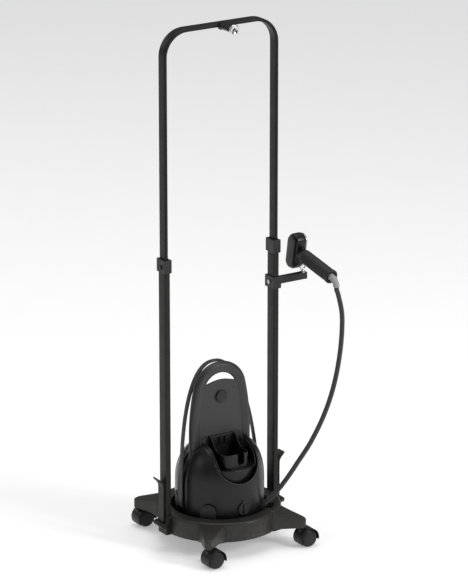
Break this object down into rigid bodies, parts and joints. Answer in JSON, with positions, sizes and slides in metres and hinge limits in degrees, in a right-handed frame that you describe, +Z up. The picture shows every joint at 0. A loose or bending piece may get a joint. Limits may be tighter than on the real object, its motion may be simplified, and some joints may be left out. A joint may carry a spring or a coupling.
{
  "type": "garment steamer",
  "caption": "Garment steamer on a round caster base, with a telescoping hanging frame, lift-off water tank, side-docked handset and steam hose.",
  "frame": {"origin": "floor level, on the vertical axis of the round tray", "axes": "+Z up, -Y is the front (hanger peg and cradle side), +X is the handset side"},
  "size_m": [0.4818, 0.398, 1.4245],
  "materials": {
    "base_plastic": "satin textured",
    "frame_paint": "satin",
    "lever_paint": "satin",
    "unit_plastic": "satin gloss",
    "plate_plastic": "satin",
    "trim_plastic": "satin",
    "tank_plastic": "smoked translucent",
    "caster_plastic": "satin",
    "tread_plastic": "satin",
    "steel": "brushed",
    "chrome": "polished",
    "boiler_alloy": "cast",
    "grip_rubber": "ribbed matte",
    "boot_rubber": "ribbed matte",
    "hose_cover": "woven matte",
    "foot_rubber": "matte"
  },
  "bodies": {
    "stand": {"base_tray": "base_plastic", "post_bracket_l": "lever_paint", "post_bracket_r": "lever_paint", "hinge_pin_l": "steel", "hinge_pin_r": "steel", "sleeve_l": "lever_paint", "sleeve_r": "lever_paint", "sleeve_collar_l": "trim_plastic", "sleeve_collar_r": "trim_plastic", "unit_base": "unit_plastic", "unit_feet": "foot_rubber", "unit_shell": "unit_plastic", "back_plate": "plate_plastic", "plate_badge": "trim_plastic", "plate_screws": "steel", "cup_insert": "trim_plastic", "boiler": "boiler_alloy", "tank_seat": "trim_plastic", "hose_gland": "foot_rubber", "mains_inlet": "foot_rubber", "holder_arm": "trim_plastic", "holder_hook": "chrome", "holder_screw": "steel", "handset_grip": "grip_rubber", "handset_ring": "trim_plastic", "handset_neck": "unit_plastic", "head_housing": "unit_plastic", "head_plate": "steel", "strain_relief": "boot_rubber", "hose": "hose_cover"},
    "rail": {"rail_frame": "frame_paint", "rail_glides": "foot_rubber", "hanger_peg": "frame_paint", "peg_cap": "chrome"},
    "lever_l": {"latch_lever_l": "lever_paint"},
    "lever_r": {"latch_lever_r": "lever_paint"},
    "button_l": {"lock_button_l": "trim_plastic"},
    "button_r": {"lock_button_r": "trim_plastic"},
    "pedal": {"power_pedal": "trim_plastic"},
    "drain": {"drain_plug": "trim_plastic"},
    "tank": {"tank_body": "tank_plastic", "tank_hoop": "plate_plastic", "tank_valve": "trim_plastic"},
    "cap": {"tank_cap": "trim_plastic"},
    "trigger": {"steam_trigger": "trim_plastic"},
    "caster_1": {"caster_fork_1": "caster_plastic"},
    "wheels_1": {"caster_wheels_1": "tread_plastic", "caster_axle_1": "steel"},
    "caster_2": {"caster_fork_2": "caster_plastic"},
    "wheels_2": {"caster_wheels_2": "tread_plastic", "caster_axle_2": "steel"},
    "caster_3": {"caster_fork_3": "caster_plastic"},
    "wheels_3": {"caster_wheels_3": "tread_plastic", "caster_axle_3": "steel"},
    "caster_4": {"caster_fork_4": "caster_plastic"},
    "wheels_4": {"caster_wheels_4": "tread_plastic", "caster_axle_4": "steel"}
  },
  "joints": [
    {"name": "rail_height", "type": "slide", "parent": "stand", "child": "rail", "axis": [0, 0, 1], "range_m": [-0.25, 0.3]},
    {"name": "lever_l_swing", "type": "hinge", "parent": "stand", "child": "lever_l", "pos_m": [-0.186, 0, 0.074], "axis": [0, -1, 0], "range_deg": [0, 60]},
    {"name": "lever_r_swing", "type": "hinge", "parent": "stand", "child": "lever_r", "pos_m": [0.186, 0, 0.074], "axis": [0, 1, 0], "range_deg": [0, 60]},
    {"name": "button_l_press", "type": "slide", "parent": "stand", "child": "button_l", "axis": [1, 0, 0], "range_m": [0, 0.002], "stiffness_N_per_m": 400},
    {"name": "button_r_press", "type": "slide", "parent": "stand", "child": "button_r", "axis": [-1, 0, 0], "range_m": [0, 0.002], "stiffness_N_per_m": 400},
    {"name": "pedal_press", "type": "slide", "parent": "stand", "child": "pedal", "axis": [0.7193, 0.6947, 0], "range_m": [0, 0.002], "stiffness_N_per_m": 1500},
    {"name": "drain_turn", "type": "hinge", "parent": "stand", "child": "drain", "pos_m": [0, -0.12, 0.118], "axis": [0, -1, 0], "range_deg": [0, 90]},
    {"name": "tank_lift", "type": "slide", "parent": "stand", "child": "tank", "axis": [0, 0, 1], "range_m": [0, 0.15]},
    {"name": "cap_turn", "type": "hinge", "parent": "tank", "child": "cap", "pos_m": [0, 0.05, 0.29], "axis": [0, 0, 1], "range_deg": [0, 90]},
    {"name": "trigger_press", "type": "slide", "parent": "stand", "child": "trigger", "axis": [0, 0.1736, -0.9848], "range_m": [0, 0.0025], "stiffness_N_per_m": 500},
    {"name": "caster_1_swivel", "type": "hinge", "parent": "stand", "child": "caster_1", "pos_m": [-0.145, -0.1775, 0.06], "axis": [0, 0, 1], "continuous": true},
    {"name": "wheels_1_spin", "type": "hinge", "parent": "caster_1", "child": "wheels_1", "pos_m": [-0.129, -0.1775, 0.0245], "axis": [0, 1, 0], "continuous": true},
    {"name": "caster_2_swivel", "type": "hinge", "parent": "stand", "child": "caster_2", "pos_m": [0.145, -0.1775, 0.06], "axis": [0, 0, 1], "continuous": true},
    {"name": "wheels_2_spin", "type": "hinge", "parent": "caster_2", "child": "wheels_2", "pos_m": [0.161, -0.1775, 0.0245], "axis": [0, 1, 0], "continuous": true},
    {"name": "caster_3_swivel", "type": "hinge", "parent": "stand", "child": "caster_3", "pos_m": [-0.145, 0.1775, 0.06], "axis": [0, 0, 1], "continuous": true},
    {"name": "wheels_3_spin", "type": "hinge", "parent": "caster_3", "child": "wheels_3", "pos_m": [-0.129, 0.1775, 0.0245], "axis": [0, 1, 0], "continuous": true},
    {"name": "caster_4_swivel", "type": "hinge", "parent": "stand", "child": "caster_4", "pos_m": [0.145, 0.1775, 0.06], "axis": [0, 0, 1], "continuous": true},
    {"name": "wheels_4_spin", "type": "hinge", "parent": "caster_4", "child": "wheels_4", "pos_m": [0.161, 0.1775, 0.0245], "axis": [0, 1, 0], "continuous": true}
  ]
}
